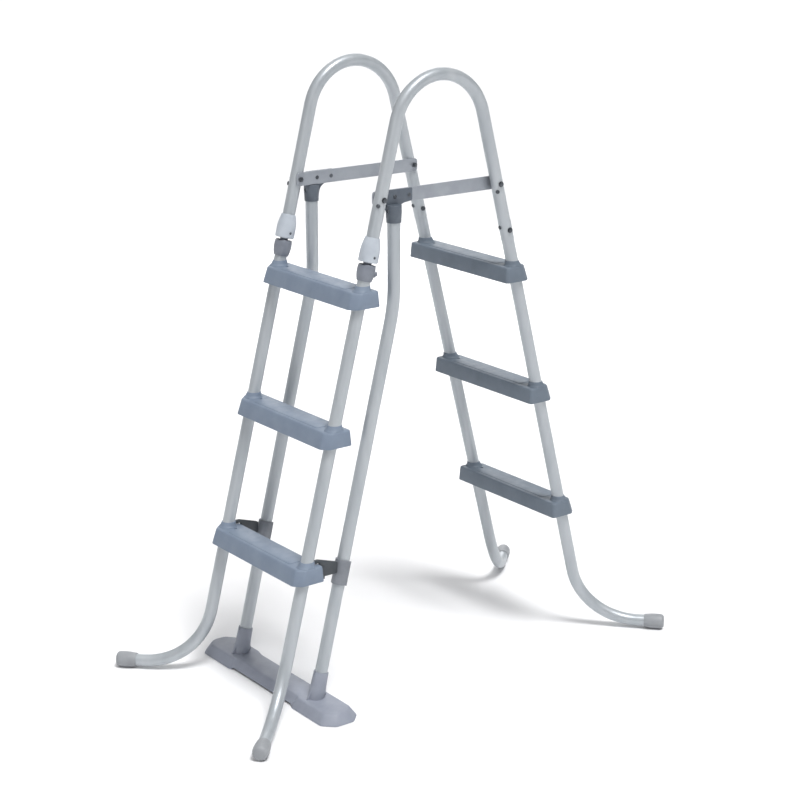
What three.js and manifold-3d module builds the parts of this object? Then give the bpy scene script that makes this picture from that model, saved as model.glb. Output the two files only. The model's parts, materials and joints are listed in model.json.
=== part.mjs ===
// Pool ladder: an A-frame for an above-ground pool, with a fixed inner half, two arched handrails,
// two support legs on a base plate, and an outer half of steps that swings out and pulls off.
//
// Units are millimetres. +Z is up, +X points into the pool and -X to the side it is climbed from.
// A climber facing the pool has -Y on the right and +Y on the left. The floor is z = 0.
// x = 0 is the middle of the flat bars over the pool wall, and both halves lean by the same slope.

import * as THREE from 'three';
import { mergeVertices } from 'three/addons/utils/BufferGeometryUtils.js';
import { ConvexGeometry } from 'three/addons/geometries/ConvexGeometry.js';
import Module from 'manifold-3d';

const wasm = await Module();
wasm.setup();

// ---------------------------------------------------------------- driving dimensions

const BAR_HEIGHT = 1120;           // centre of the flat bars, for a 1.07 m pool wall
const GAP = 0.3;                   // between any two pieces that touch
const OUTER = -1;                  // the side that is climbed from, along X
const INNER = 1;                   // the pool side, along X
const SIDES = { right: -1, left: 1 };   // sign of Y

const TUBE_RADIUS = 14;
const TUBE_WALL = 1.4;
const TUBE_FACETS = 14;
const FINE_FACETS = 14;              // sleeves, sockets and caps
const SMALL_FACETS = 8;              // shanks, holes and heads
const SOCKET_BORE = TUBE_RADIUS + GAP;

const LEG_Y = 159.5;               // half the track of handrails and legs
const LEG_X_AT_BAR = 159;          // leg axes at bar height, each side of the bar's middle
const LEG_SLOPE = 0.26;            // outwards per unit down, on both halves
const ARCH_RADIUS = 121;
const FOOT_BEND_RADIUS = 160;
const FOOT_AXIS_HEIGHT = 18;
const FOOT_TIP = { x: 583, y: 304 };   // the cap's end, out from the middle of the ladder
const SPLICE_HEIGHT = 990;         // handrail above, inner leg below

const SUPPORT_X = -120.5;
const SUPPORT_Y = 155;
const SUPPORT_BEND_HEIGHT = 887;
const SUPPORT_BEND_RADIUS = 350;
const SUPPORT_SLOPE = 0.252;
const SUPPORT_TOP = 1099.5;
const SUPPORT_FOOT = 12;

const BAR_THICKNESS = 4;
const BAR_DEPTH = 30;
const BAR_OVERHANG = 9;            // past each leg's axis
const BAR_CORNER = 5;
const BAR_OUTER_FACE = LEG_Y - TUBE_RADIUS - GAP;
const BAR_INNER_FACE = BAR_OUTER_FACE - BAR_THICKNESS;

const STEP_TOPS = { bottom: 340, middle: 635, top: 930 };
const STEP = { height: 36, wall: 3, edge: 4 };   // edge is the bevel round the top
const STEP_FRONT = { top: 29, foot: 41, corner: 17 };   // from the leg's axis to the face it is climbed by
const STEP_REAR = { top: 31.5, foot: 34, corner: 4 };
const STEP_END = { top: 179, foot: 181 };            // from the middle of the ladder
const TREAD = { rise: 0.8, depth: 44, length: 250, corner: 4 };   // raised panel between the collars
const COLLAR = { height: 10, foot: 21, waist: 18.6, rim: 16.4 };

const BASE = { x: -338, depth: 98, length: 536, height: 23, wall: 3, inset: 12, corner: 26 };
const BASE_PAD = { length: 140, lift: 4, waist: 6 };   // the middle is lifted, and narrower each side
const BASE_SOCKET = { foot: 5, top: 81, footRadius: 18.6, rimRadius: 16.6 };
const BASE_EDGE = 5;               // a chamfer round the top of the base plate
const BASE_FIN = { halfThickness: 2.2, root: 25, crest: 16.8, top: 68 };

const COUPLING_MOUTH = 990;        // height of the bell's mouth on the outer leg's axis
const SWING_PIN_ABOVE_MOUTH = 12;
const PIN_RADIUS = 3;
const BOLT_RADIUS = 3;
const SCREW_RADIUS = 2.1;
const RIVET_RADIUS = 2.5;
const SUPPORT_PIN_RADIUS = 3.8;

// ---------------------------------------------------------------- materials

const paint = (color, roughness, metalness) =>
  new THREE.MeshStandardMaterial({ color, roughness, metalness });
const TUBE_PAINT = paint(0xb0b4b8, 0.42, 0.35);
const BAR_PAINT = paint(0xa0a0aa, 0.45, 0.35);
const STEP_PLASTIC = paint(0x8d9daf, 0.62, 0);
const BASE_PLASTIC = paint(0x8f93a0, 0.6, 0);
const SOCKET_PLASTIC = paint(0xa6a9b2, 0.5, 0);
const DARK_PLASTIC = paint(0x6a6d78, 0.5, 0);
const CAP_PLASTIC = paint(0xa9abb0, 0.55, 0);
const FASTENER_STEEL = paint(0x565b60, 0.4, 0.8);

// ---------------------------------------------------------------- solids

const v3 = (x, y, z) => new THREE.Vector3(x, y, z);
const UP = v3(0, 0, 1);

function solidOf(geometry) {
  const bare = geometry.clone();
  bare.deleteAttribute('normal');
  bare.deleteAttribute('uv');
  const merged = mergeVertices(bare, 1e-4);
  const index = merged.index.array;
  const triangles = [];
  for (let i = 0; i < index.length; i += 3) {
    const [a, b, c] = [index[i], index[i + 1], index[i + 2]];
    if (a !== b && b !== c && c !== a) triangles.push(a, b, c);
  }
  const vertProperties = new Float32Array(merged.attributes.position.array);
  const triVerts = new Uint32Array(triangles);
  return new wasm.Manifold(new wasm.Mesh({ numProp: 3, vertProperties, triVerts }));
}

function geometryOf(solid) {
  const { vertProperties, triVerts } = solid.getMesh();
  const geometry = new THREE.BufferGeometry();
  geometry.setAttribute('position', new THREE.BufferAttribute(vertProperties, 3));
  geometry.setIndex(new THREE.BufferAttribute(triVerts, 1));
  geometry.computeVertexNormals();
  return geometry;
}

// The first geometry emptied by `hollow`, joined with `add`, then cut by `cut`.
function shaped(geometry, { hollow = [], add = [], cut = [] }) {
  let solid = solidOf(geometry);
  for (const piece of hollow) solid = solid.subtract(solidOf(piece));
  for (const piece of add) solid = solid.add(solidOf(piece));
  for (const piece of cut) solid = solid.subtract(solidOf(piece));
  return geometryOf(solid);
}

// Turns a geometry's +Z to `direction` and moves its origin to `position`.
function placed(geometry, position, direction) {
  const turn = new THREE.Quaternion().setFromUnitVectors(UP, direction.clone().normalize());
  return geometry.applyMatrix4(new THREE.Matrix4().compose(position, turn, v3(1, 1, 1)));
}

// A solid turned about +Z from [radius, height] points, listed up the outside.
function turned(profile, facets) {
  const points = profile.map(([r, z]) => new THREE.Vector2(r, z));
  return new THREE.LatheGeometry(points, facets).rotateX(Math.PI / 2);
}

// A solid cylinder or prism from one point to another.
function rod(from, to, radius, facets = SMALL_FACETS) {
  const length = from.distanceTo(to);
  const along = to.clone().sub(from);
  const cylinder = new THREE.CylinderGeometry(radius, radius, length, facets).rotateX(Math.PI / 2);
  return placed(cylinder, from.clone().addScaledVector(along, 0.5), along);
}

// A flat plate: an outline in X and Z, from y0 to y1.
function plate(outline, y0, y1) {
  const shape = new THREE.Shape(outline.map(([x, z]) => new THREE.Vector2(x, z)));
  const geometry = new THREE.ExtrudeGeometry(shape, { depth: y1 - y0, bevelEnabled: false });
  return geometry.rotateX(Math.PI / 2).translate(0, y1, 0);
}

// ---------------------------------------------------------------- tubes

// A path through chosen stations, so that rings sit only where the tube bends.
class StationPath extends THREE.Curve {
  constructor(stations) {
    super();
    this.stations = stations;
  }

  getPoint(t, target = v3(0, 0, 0)) {
    const spans = this.stations.length - 1;
    const i = Math.min(Math.floor(t * spans), spans - 1);
    return target.lerpVectors(this.stations[i], this.stations[i + 1], t * spans - i);
  }

  getUtoTmapping(u) {
    return u;
  }
}

// The stations of a line through three corners whose middle one is an arc of the given radius.
function bentStations([start, corner, end], radius, arcSteps) {
  const into = corner.clone().sub(start).normalize();
  const away = end.clone().sub(corner).normalize();
  const turn = into.angleTo(away);
  const inwards = away.clone().addScaledVector(into, -away.dot(into)).normalize();
  const arcStart = corner.clone().addScaledVector(into, -radius * Math.tan(turn / 2));
  const stations = [start];
  for (let i = 0; i <= arcSteps; i += 1) {
    const angle = (turn * i) / arcSteps;
    const point = arcStart.clone().addScaledVector(into, radius * Math.sin(angle));
    stations.push(point.addScaledVector(inwards, radius * (1 - Math.cos(angle))));
  }
  stations.push(end);
  return stations;
}

function circle(radius, Kind) {
  const points = [];
  for (let i = 0; i < TUBE_FACETS; i += 1) {
    const angle = (2 * Math.PI * i) / TUBE_FACETS;
    points.push(new THREE.Vector2(radius * Math.cos(angle), radius * Math.sin(angle)));
  }
  return new Kind(points);
}

function tube(stations) {
  const section = circle(TUBE_RADIUS, THREE.Shape);
  section.holes.push(circle(TUBE_RADIUS - TUBE_WALL, THREE.Path));
  const extrudePath = new StationPath(stations);
  const steps = stations.length - 1;
  return new THREE.ExtrudeGeometry(section, { steps, extrudePath, bevelEnabled: false });
}

// ---------------------------------------------------------------- axes that pieces share

const legX = (half, z) => half * (LEG_X_AT_BAR + LEG_SLOPE * (BAR_HEIGHT - z));
const onLeg = (half, side, z) => v3(legX(half, z), side * LEG_Y, z);
const upLeg = (half) => v3(-half * LEG_SLOPE, 0, 1).normalize();
const supportX = (z) => SUPPORT_X - SUPPORT_SLOPE * Math.max(0, SUPPORT_BEND_HEIGHT - z);
const onSupport = (side, z) => v3(supportX(z), side * SUPPORT_Y, z);
const UP_SUPPORT = v3(SUPPORT_SLOPE, 0, 1).normalize();

const footCorner = (half, side) => onLeg(half, side, FOOT_AXIS_HEIGHT);
const footTip = (half, side) => v3(half * FOOT_TIP.x, side * FOOT_TIP.y, FOOT_AXIS_HEIGHT);
const footDirection = (half, side) => footTip(half, side).sub(footCorner(half, side)).normalize();

const mouth = (side) => onLeg(OUTER, side, COUPLING_MOUTH);
const swingPinCentre = (side) => mouth(side).addScaledVector(upLeg(OUTER), SWING_PIN_ABOVE_MOUTH);

// ---------------------------------------------------------------- fasteners

const HEAD = { radius: 5.6, height: 4 };
const NUT = { radius: 5.8, height: 5 };
const BOLT_TAIL = 2;               // thread past the nut
const SCREW_HEAD = { radius: 4.6, height: 2.6 };
const SCREW_LENGTH = 9;
const HOLE_CLEARANCE = 0.3;
const HOLE_REACH = 30;             // how far a drill goes to clear one tube or plate

const BAR_BOLT_HEIGHT = BAR_HEIGHT;
const BAR_SCREW_HEIGHT = 1106;
const SPLICE_BOLT_HEIGHT = 1014;
const SPLICE_SCREW_HEIGHT = 1024;
const RIVET_X = [-114, -76];
const SUPPORT_PIN_HEIGHT = 1092;

// Bolt across a leg along Y: its head outside, its thread towards the middle of the ladder.
function crossBolt(at, side, innerFace) {
  const seat = side * (LEG_Y + TUBE_RADIUS + GAP);
  const tail = side * (innerFace - GAP - NUT.height - BOLT_TAIL);
  const head = rod(v3(at.x, seat, at.z), v3(at.x, seat + side * HEAD.height, at.z), HEAD.radius, 6);
  const shank = rod(v3(at.x, tail, at.z), v3(at.x, seat + side * 1, at.z), BOLT_RADIUS);
  return shaped(head, { add: [shank] });
}

// A hole along Y, centred on `at`.
const crossHole = (at, radius) =>
  rod(v3(at.x, at.y - HOLE_REACH, at.z), v3(at.x, at.y + HOLE_REACH, at.z), radius + HOLE_CLEARANCE);

function nut(at, side, innerFace) {
  const face = side * (innerFace - GAP);
  const back = face - side * NUT.height;
  const body = rod(v3(at.x, face, at.z), v3(at.x, back, at.z), NUT.radius, 6);
  return shaped(body, { cut: [crossHole(v3(at.x, face, at.z), BOLT_RADIUS)] });
}

// Screw into one wall of a tube, square to its axis line at `at`, from the side `outwards` faces.
function wallScrew(at, outwards) {
  const { radius, height } = SCREW_HEAD;
  const profile = [
    [0, -SCREW_LENGTH], [SCREW_RADIUS, 1 - SCREW_LENGTH], [SCREW_RADIUS, 0],
    [radius, 0], [radius, height * 0.4], [radius * 0.7, height], [0, height],
  ];
  const seat = at.clone().addScaledVector(outwards, TUBE_RADIUS + 2 * GAP);
  return placed(turned(profile, SMALL_FACETS), seat, outwards);
}

// A hole through the same wall.
const wallHole = (at, outwards) =>
  rod(at, at.clone().addScaledVector(outwards, HOLE_REACH), SCREW_RADIUS + HOLE_CLEARANCE);

// A screw's direction, made square to the leg that it goes into.
const squareTo = (half, direction) =>
  direction.addScaledVector(upLeg(half), -direction.dot(upLeg(half))).normalize();

// Screws at the bar face half outwards and half towards the climber; the splice screws face the climber.
const barScrewFacing = (half, side) => squareTo(half, v3(-1, side, 0).normalize());
const spliceScrewFacing = () => squareTo(INNER, v3(-1, 0, 0));

// ---------------------------------------------------------------- fixed frame

const ARCH_STEPS = 12;
const FOOT_STEPS = 6;
const SUPPORT_BEND_STEPS = 4;
const HANDRAIL_END_ABOVE_MOUTH = 31.6;

function handrail(side) {
  const rise = LEG_X_AT_BAR / LEG_SLOPE;
  const start = mouth(side).addScaledVector(upLeg(OUTER), HANDRAIL_END_ABOVE_MOUTH);
  const peak = onLeg(OUTER, side, BAR_HEIGHT + rise);
  const end = onLeg(INNER, side, SPLICE_HEIGHT);
  const holes = [
    crossHole(onLeg(INNER, side, SPLICE_BOLT_HEIGHT), BOLT_RADIUS),
    wallHole(onLeg(INNER, side, SPLICE_SCREW_HEIGHT), spliceScrewFacing()),
  ];
  for (const half of [OUTER, INNER]) {
    holes.push(crossHole(onLeg(half, side, BAR_BOLT_HEIGHT), BOLT_RADIUS));
    holes.push(wallHole(onLeg(half, side, BAR_SCREW_HEIGHT), barScrewFacing(half, side)));
  }
  return shaped(tube(bentStations([start, peak, end], ARCH_RADIUS, ARCH_STEPS)), { cut: holes });
}

function topBar(side) {
  const end = LEG_X_AT_BAR + BAR_OVERHANG;
  const half = BAR_DEPTH / 2;
  const cut = BAR_CORNER;
  const [low, high] = [BAR_HEIGHT - half, BAR_HEIGHT + half];
  const outline = [
    [-end + cut, low], [end - cut, low], [end, low + cut], [end, high - cut],
    [end - cut, high], [-end + cut, high], [-end, high - cut], [-end, low + cut],
  ];
  const faces = [side * BAR_INNER_FACE, side * BAR_OUTER_FACE];
  const holes = [OUTER, INNER].map((h) => crossHole(onLeg(h, side, BAR_BOLT_HEIGHT), BOLT_RADIUS));
  holes.push(...RIVET_X.map((x) => crossHole(v3(x, side * BAR_OUTER_FACE, BAR_HEIGHT), RIVET_RADIUS)));
  return shaped(plate(outline, Math.min(...faces), Math.max(...faces)), { cut: holes });
}

const FLANGE = { left: -142, right: -67, outerFace: BAR_OUTER_FACE + GAP + 5 };
const BRACKET_SOCKET = { top: 1104, bottom: 1066, taper: 22, radius: 17.2, rim: 15.9 };
const GUSSET = { steps: 5, radius: 22 };

// The hole for a support pin, along X through tube and bracket.
function supportPinHole(side) {
  const [near, far] = [SUPPORT_X - HOLE_REACH, SUPPORT_X + HOLE_REACH];
  return rod(v3(near, side * SUPPORT_Y, SUPPORT_PIN_HEIGHT), v3(far, side * SUPPORT_Y, SUPPORT_PIN_HEIGHT),
    SUPPORT_PIN_RADIUS + HOLE_CLEARANCE);
}

function barBracket(side) {
  const { top, bottom, taper, radius, rim } = BRACKET_SOCKET;
  const [low, high] = [BAR_HEIGHT - BAR_DEPTH / 2, BAR_HEIGHT + BAR_DEPTH / 2];
  const sweep = [];
  for (let i = 0; i <= GUSSET.steps; i += 1) {
    const angle = (Math.PI / 2) * (i / GUSSET.steps);
    const reach = GUSSET.radius * (1 - Math.cos(angle));
    sweep.push([SUPPORT_X + radius - 2 + reach, low - GUSSET.radius * (1 - Math.sin(angle))]);
  }
  const outline = [
    [FLANGE.left + 9, low - 8], [SUPPORT_X - radius + 3, low - GUSSET.radius], ...sweep,
    [FLANGE.right - 5, low + 1], [FLANGE.right, low + 8],
    [FLANGE.right, high - 4], [FLANGE.right - 4, high],
    [FLANGE.left + 4, high], [FLANGE.left, high - 4], [FLANGE.left, low + 2],
  ];
  const faces = [side * (BAR_OUTER_FACE + GAP), side * FLANGE.outerFace];
  const profile = [[0, bottom], [rim, bottom], [radius, bottom + taper], [radius, top], [0, top]];
  const mouthBelow = onSupport(side, bottom - 5);
  const bore = rod(mouthBelow, onSupport(side, SUPPORT_TOP + GAP), SOCKET_BORE, FINE_FACETS);
  const rivetHoles = RIVET_X.map((x) => crossHole(v3(x, side * BAR_OUTER_FACE, BAR_HEIGHT), RIVET_RADIUS));
  return shaped(plate(outline, Math.min(...faces), Math.max(...faces)), {
    add: [turned(profile, FINE_FACETS).translate(SUPPORT_X, side * SUPPORT_Y, 0)],
    cut: [bore, supportPinHole(side), ...rivetHoles],
  });
}

function supportLeg(side) {
  const corners = [SUPPORT_TOP, SUPPORT_BEND_HEIGHT, SUPPORT_FOOT].map((z) => onSupport(side, z));
  const stations = bentStations(corners, SUPPORT_BEND_RADIUS, SUPPORT_BEND_STEPS);
  return shaped(tube(stations), { cut: [supportPinHole(side)] });
}

function supportPin(side) {
  const reach = BRACKET_SOCKET.radius - 1.5;
  return rod(v3(SUPPORT_X - reach, side * SUPPORT_Y, SUPPORT_PIN_HEIGHT),
    v3(SUPPORT_X + reach, side * SUPPORT_Y, SUPPORT_PIN_HEIGHT), SUPPORT_PIN_RADIUS);
}

// Rivet through flange and bar along Y, with a low head on each face.
function rivet(x, side) {
  const [outside, inside] = [FLANGE.outerFace + GAP, BAR_INNER_FACE - GAP];
  const [head, rise] = [4.5, 1.8];
  const profile = [
    [0, inside - rise], [head * 0.7, inside - rise], [head, inside], [RIVET_RADIUS, inside],
    [RIVET_RADIUS, outside], [head, outside], [head * 0.7, outside + rise], [0, outside + rise],
  ];
  return placed(turned(profile, SMALL_FACETS), v3(x, 0, BAR_HEIGHT), v3(0, side, 0));
}

// An eight-cornered slab: a rectangle with its corners cut off, at one height.
function slabCorners(x, depth, length, corner, z) {
  const [a, b] = [depth / 2, length / 2];
  const points = [];
  for (const [sx, sy] of [[1, 1], [-1, 1], [-1, -1], [1, -1]]) {
    points.push(v3(x + sx * (a - corner), sy * b, z), v3(x + sx * a, sy * (b - corner), z));
  }
  return points;
}

// Two upright fins that brace a base socket, one on the climber's side and one on the pool's.
function socketFins(side) {
  const { halfThickness, root, crest, top } = BASE_FIN;
  const low = onSupport(side, BASE.height - 2);
  const high = onSupport(side, top);
  return [-1, 1].map((facing) => {
    const corners = [];
    for (const dy of [-halfThickness, halfThickness]) {
      corners.push(v3(low.x, low.y + dy, low.z), v3(low.x + facing * root, low.y + dy, low.z));
      corners.push(v3(high.x, high.y + dy, high.z), v3(high.x + facing * crest, high.y + dy, high.z));
    }
    return new ConvexGeometry(corners);
  });
}

// A flat-topped block with sloping sides, and the space that is moulded out of it from below.
function baseBlock(depth, length, y) {
  const { x, height, inset, corner } = BASE;
  const [topDepth, topLength] = [depth - 2 * inset, length - 2 * inset];
  return new ConvexGeometry([
    ...slabCorners(x, depth, length, corner, 0),
    ...slabCorners(x, topDepth, topLength, corner * 0.8, height - BASE_EDGE),
    ...slabCorners(x, topDepth - BASE_EDGE, topLength - BASE_EDGE, corner * 0.75, height),
  ]).translate(0, y, 0);
}

function baseHollow(depth, length, y) {
  const { x, height, wall, inset, corner } = BASE;
  const narrowing = 2 * (inset + wall + 2);
  return new ConvexGeometry([
    ...slabCorners(x, depth - 2 * wall, length - 2 * wall, corner - 1, -1),
    ...slabCorners(x, depth - narrowing, length - narrowing, corner * 0.7, height - wall),
  ]).translate(0, y, 0);
}

function basePlate() {
  const { x, depth, length } = BASE;
  const middleLength = length - BASE_PAD.length;
  const middleDepth = depth - 2 * BASE_PAD.waist;
  const padY = middleLength / 2;
  const shell = shaped(baseBlock(middleDepth, middleLength, 0), {
    add: [baseBlock(depth, BASE_PAD.length, -padY), baseBlock(depth, BASE_PAD.length, padY)],
  });
  const hollow = [
    baseHollow(middleDepth, middleLength, 0),
    baseHollow(depth, BASE_PAD.length, -padY),
    baseHollow(depth, BASE_PAD.length, padY),
    new THREE.BoxGeometry(depth, length - 2 * BASE_PAD.length, 2 * BASE_PAD.lift).translate(x, 0, 0),
  ];
  const sockets = [];
  const bores = [];
  for (const side of Object.values(SIDES)) {
    const { foot, top, footRadius, rimRadius } = BASE_SOCKET;
    const bossFoot = onSupport(side, foot);
    const tall = bossFoot.distanceTo(onSupport(side, top));
    const profile = [[0, 0], [footRadius, 0], [footRadius, tall * 0.45], [rimRadius, tall], [0, tall]];
    sockets.push(placed(turned(profile, FINE_FACETS), bossFoot, UP_SUPPORT), ...socketFins(side));
    const boreFoot = onSupport(side, SUPPORT_FOOT - GAP);
    bores.push(rod(boreFoot, onSupport(side, top + 10), SOCKET_BORE, FINE_FACETS));
  }
  return shaped(shell, { hollow, add: sockets, cut: bores });
}

const CAP = { length: 48, bore: 43, radius: 18, rim: 17 };

function legTube(half, side, top) {
  const end = footTip(half, side).addScaledVector(footDirection(half, side), CAP.bore - CAP.length - GAP);
  return tube(bentStations([top, footCorner(half, side), end], FOOT_BEND_RADIUS, FOOT_STEPS));
}

const NECK = { overlap: 10, length: 58, wall: 1.6 };

// The inner leg's top is swaged to a smaller diameter that slides up into the handrail.
function innerLeg(side) {
  const top = onLeg(INNER, side, SPLICE_HEIGHT - GAP);
  const bore = TUBE_RADIUS - TUBE_WALL;
  const { overlap, length, wall } = NECK;
  const neck = [
    [bore - wall, -overlap], [bore + TUBE_WALL / 2, -overlap], [bore + TUBE_WALL / 2, 0], [bore - GAP, 0],
    [bore - GAP, length], [bore - wall, length], [bore - wall, -overlap],
  ];
  return shaped(legTube(INNER, side, top), {
    add: [placed(turned(neck, TUBE_FACETS), top, upLeg(INNER))],
    cut: [
      crossHole(onLeg(INNER, side, SPLICE_BOLT_HEIGHT), BOLT_RADIUS),
      wallHole(onLeg(INNER, side, SPLICE_SCREW_HEIGHT), spliceScrewFacing()),
    ],
  });
}

function footCap(half, side) {
  const { length, bore, radius, rim } = CAP;
  const profile = [
    [0, bore], [SOCKET_BORE, bore], [SOCKET_BORE, 0], [rim, 0], [radius, 3],
    [radius, length - 9], [radius - 2, length - 3.5], [radius - 7, length], [0, length],
  ];
  const direction = footDirection(half, side);
  const open = footTip(half, side).addScaledVector(direction, -length);
  return placed(turned(profile, FINE_FACETS), open, direction);
}

// ---------------------------------------------------------------- steps

// How far a face of a step stands from its leg's axis, or its end from the middle, some way below its top.
const stepReach = (face, below) => face.top + ((face.foot - face.top) * below) / STEP.height;

// A step's outline some way below its top, with its front corners cut off wide and its rear ones narrow.
function stepCorners(half, top, below, shrink) {
  const x = legX(half, top);
  const end = stepReach(STEP_END, below) - shrink;
  const points = [];
  for (const [face, facing] of [[STEP_FRONT, half], [STEP_REAR, -half]]) {
    const reach = stepReach(face, below) - shrink;
    for (const side of Object.values(SIDES)) {
      points.push(v3(x + facing * reach, side * (end - face.corner), top - below));
      points.push(v3(x + facing * (reach - face.corner), side * end, top - below));
    }
  }
  return points;
}

function step(half, top) {
  const { height, wall, edge } = STEP;
  const x = legX(half, top);
  const foot = top - height;
  const body = new ConvexGeometry([
    ...stepCorners(half, top, height, 0),
    ...stepCorners(half, top, edge, 0),
    ...stepCorners(half, top, TREAD.rise, 2),
  ]);
  const tread = new ConvexGeometry([
    ...slabCorners(x, TREAD.depth, TREAD.length, TREAD.corner, top - 2),
    ...slabCorners(x, TREAD.depth - 1, TREAD.length - 1, TREAD.corner, top),
  ]);
  const hollow = new ConvexGeometry([
    ...stepCorners(half, top, height + 1, wall),
    ...stepCorners(half, top, wall + 1, wall),
  ]);
  const axis = upLeg(half);
  const collars = [];
  const bores = [];
  for (const side of Object.values(SIDES)) {
    const onTop = onLeg(half, side, top);
    const drop = height - 3;
    const profile = [
      [0, -drop], [COLLAR.rim + 0.5, -drop], [COLLAR.rim + 1, -6], [COLLAR.foot, -3],
      [COLLAR.waist, 4], [COLLAR.rim, COLLAR.height], [0, COLLAR.height],
    ];
    collars.push(placed(turned(profile, FINE_FACETS), onTop, axis));
    bores.push(rod(onLeg(half, side, foot - 20), onLeg(half, side, top + 40), SOCKET_BORE, FINE_FACETS));
  }
  return shaped(body, { hollow: [hollow], add: [tread, ...collars], cut: bores });
}

// ---------------------------------------------------------------- couplings

// Local +Z runs up the outer leg and z = 0 is the bell's mouth.
function couplingSocket(side) {
  const bell = [
    [18.6, 0], [20.6, 0], [21.6, 3], [21.6, 22], [20.4, 34], [17.4, 47],
    [15.9, 53.4], [SOCKET_BORE, 53.4], [SOCKET_BORE, 31], [18.6, 29], [18.6, 0],
  ];
  return shaped(placed(turned(bell, FINE_FACETS), mouth(side), upLeg(OUTER)), {
    cut: [crossHole(swingPinCentre(side), PIN_RADIUS)],
  });
}

function swingPin(side) {
  const at = swingPinCentre(side);
  const reach = 20.8;
  return rod(v3(at.x, at.y - reach, at.z), v3(at.x, at.y + reach, at.z), PIN_RADIUS);
}

const PLUG = { top: -4.5, bottom: -41, boreTop: -14, widest: 19.8, shoulder: 18.6, rim: 16.2 };
const SWING_LIMIT = THREE.MathUtils.degToRad(20);
const RELIEF = { near: 9.6, far: 30, drop: 1.4 };   // slope cut off the barrel's top
const BUTTON = { height: -26, radius: 5, seat: 18.9, tip: 25.6, pocketFloor: 15.5 };
const BUTTON_BOSS = { radius: 7.6, top: 21.8 };
const buttonDirection = (side) => v3(0.8, 0.6 * side, 0);
const buttonAxisPoint = (side, reach) =>
  mouth(side).addScaledVector(upLeg(OUTER), BUTTON.height).addScaledVector(buttonDirection(side), reach);

// The barrel: its neck hangs on the swing pin inside the bell, and the outer leg plugs in from below.
// Its top slopes down on the climber's side, so that it clears the bell at the end of the swing.
function couplingPlug(side) {
  const { top, bottom, boreTop, widest, shoulder, rim } = PLUG;
  const barrel = [
    [0, bottom], [rim, bottom], [18.6, bottom + 9], [widest, bottom + 18],
    [widest, bottom + 27], [shoulder, top], [0, top],
  ];
  const neck = [[0, top - 2], [9, top - 2], [9, 12], [7.8, 16.5], [4.5, 20], [0, 21]];
  const axis = upLeg(OUTER);
  const slope = Math.tan(SWING_LIMIT);
  const { near, far, drop } = RELIEF;
  const relief = plate(
    [[-far, -drop - far * slope], [-near, -drop - near * slope], [-near, 20], [-far, 20]], -far, far);
  const onButton = (reach) => buttonAxisPoint(side, reach);
  const boss = rod(onButton(8), onButton(BUTTON_BOSS.top), BUTTON_BOSS.radius);
  const pocket = rod(onButton(BUTTON.pocketFloor), onButton(40), BUTTON.radius + GAP);
  const legBore = rod(mouth(side).addScaledVector(axis, bottom - 5),
    mouth(side).addScaledVector(axis, boreTop), SOCKET_BORE, FINE_FACETS);
  return shaped(placed(turned(barrel, FINE_FACETS), mouth(side), axis), {
    hollow: [placed(relief, mouth(side), axis)],
    add: [placed(turned(neck, SMALL_FACETS), mouth(side), axis), boss],
    cut: [legBore, pocket, crossHole(swingPinCentre(side), PIN_RADIUS)],
  });
}

function latchButton(side) {
  const { radius, tip, seat } = BUTTON;
  const length = tip - seat;
  const profile = [[0, 0], [radius, 0], [radius, length - 1.5], [radius - 1.5, length], [0, length]];
  return placed(turned(profile, SMALL_FACETS), buttonAxisPoint(side, seat), buttonDirection(side));
}

// ---------------------------------------------------------------- outer half

function outerLeg(side) {
  return legTube(OUTER, side, mouth(side).addScaledVector(upLeg(OUTER), PLUG.boreTop - GAP));
}

const CLIP = { height: 305, length: 56, wall: 3, bore: TUBE_RADIUS + 0.6, lip: 9 };
const CLIP_ARM_HALF = 3.5;
const CLIP_PAD = { half: 14, near: 1, far: 5 };   // half its width, and its faces behind the step

// A pad behind the bottom step with a tongue over its top, an arm, and a U-shaped sleeve that is
// open towards the pool, so that it slides off the support leg as the outer half swings out.
function legClip(side) {
  const { height, length, wall, bore, lip } = CLIP;
  const sleeve = new THREE.Shape();
  sleeve.moveTo(lip, -bore - wall).lineTo(0, -bore - wall);
  sleeve.absarc(0, 0, bore + wall, -Math.PI / 2, Math.PI / 2, true);
  sleeve.lineTo(lip, bore + wall).lineTo(lip, bore).lineTo(0, bore);
  sleeve.absarc(0, 0, bore, Math.PI / 2, -Math.PI / 2, false);
  sleeve.lineTo(lip, -bore).lineTo(lip, -bore - wall);
  const extrude = { depth: length, bevelEnabled: false, curveSegments: 8 };
  const sleeveBody = new THREE.ExtrudeGeometry(sleeve, extrude).translate(0, 0, -length / 2);
  const centre = onSupport(side, height);
  const top = STEP_TOPS.bottom;
  const axisX = legX(OUTER, top);
  const padCorners = [];
  for (const below of [6, STEP.height - 3]) {
    for (const behind of [CLIP_PAD.near, CLIP_PAD.far]) {
      for (const dy of [-CLIP_PAD.half, CLIP_PAD.half]) {
        padCorners.push(v3(axisX + stepReach(STEP_REAR, below) + behind, side * LEG_Y + dy, top - below));
      }
    }
  }
  const armFoot = STEP.height - 3;
  const armOutline = [
    [axisX + stepReach(STEP_REAR, armFoot) + 1, top - armFoot], [centre.x - bore - 1, height + 2],
    [centre.x - bore + 1, height + 28], [axisX + 30, top + 9], [axisX + 17.5, top + 8],
    [axisX + 21.5, top + 1], [axisX + stepReach(STEP_REAR, 0) + 1.5, top + 1],
  ];
  const arm = plate(armOutline, side * LEG_Y - CLIP_ARM_HALF, side * LEG_Y + CLIP_ARM_HALF);
  const supportBore = rod(onSupport(side, height - 60), onSupport(side, height + 60), bore, FINE_FACETS);
  return shaped(new ConvexGeometry(padCorners), {
    add: [arm, placed(sleeveBody, centre, UP_SUPPORT)],
    cut: [supportBore],
  });
}

// ---------------------------------------------------------------- assembly

const ladder = new THREE.Group();

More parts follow.
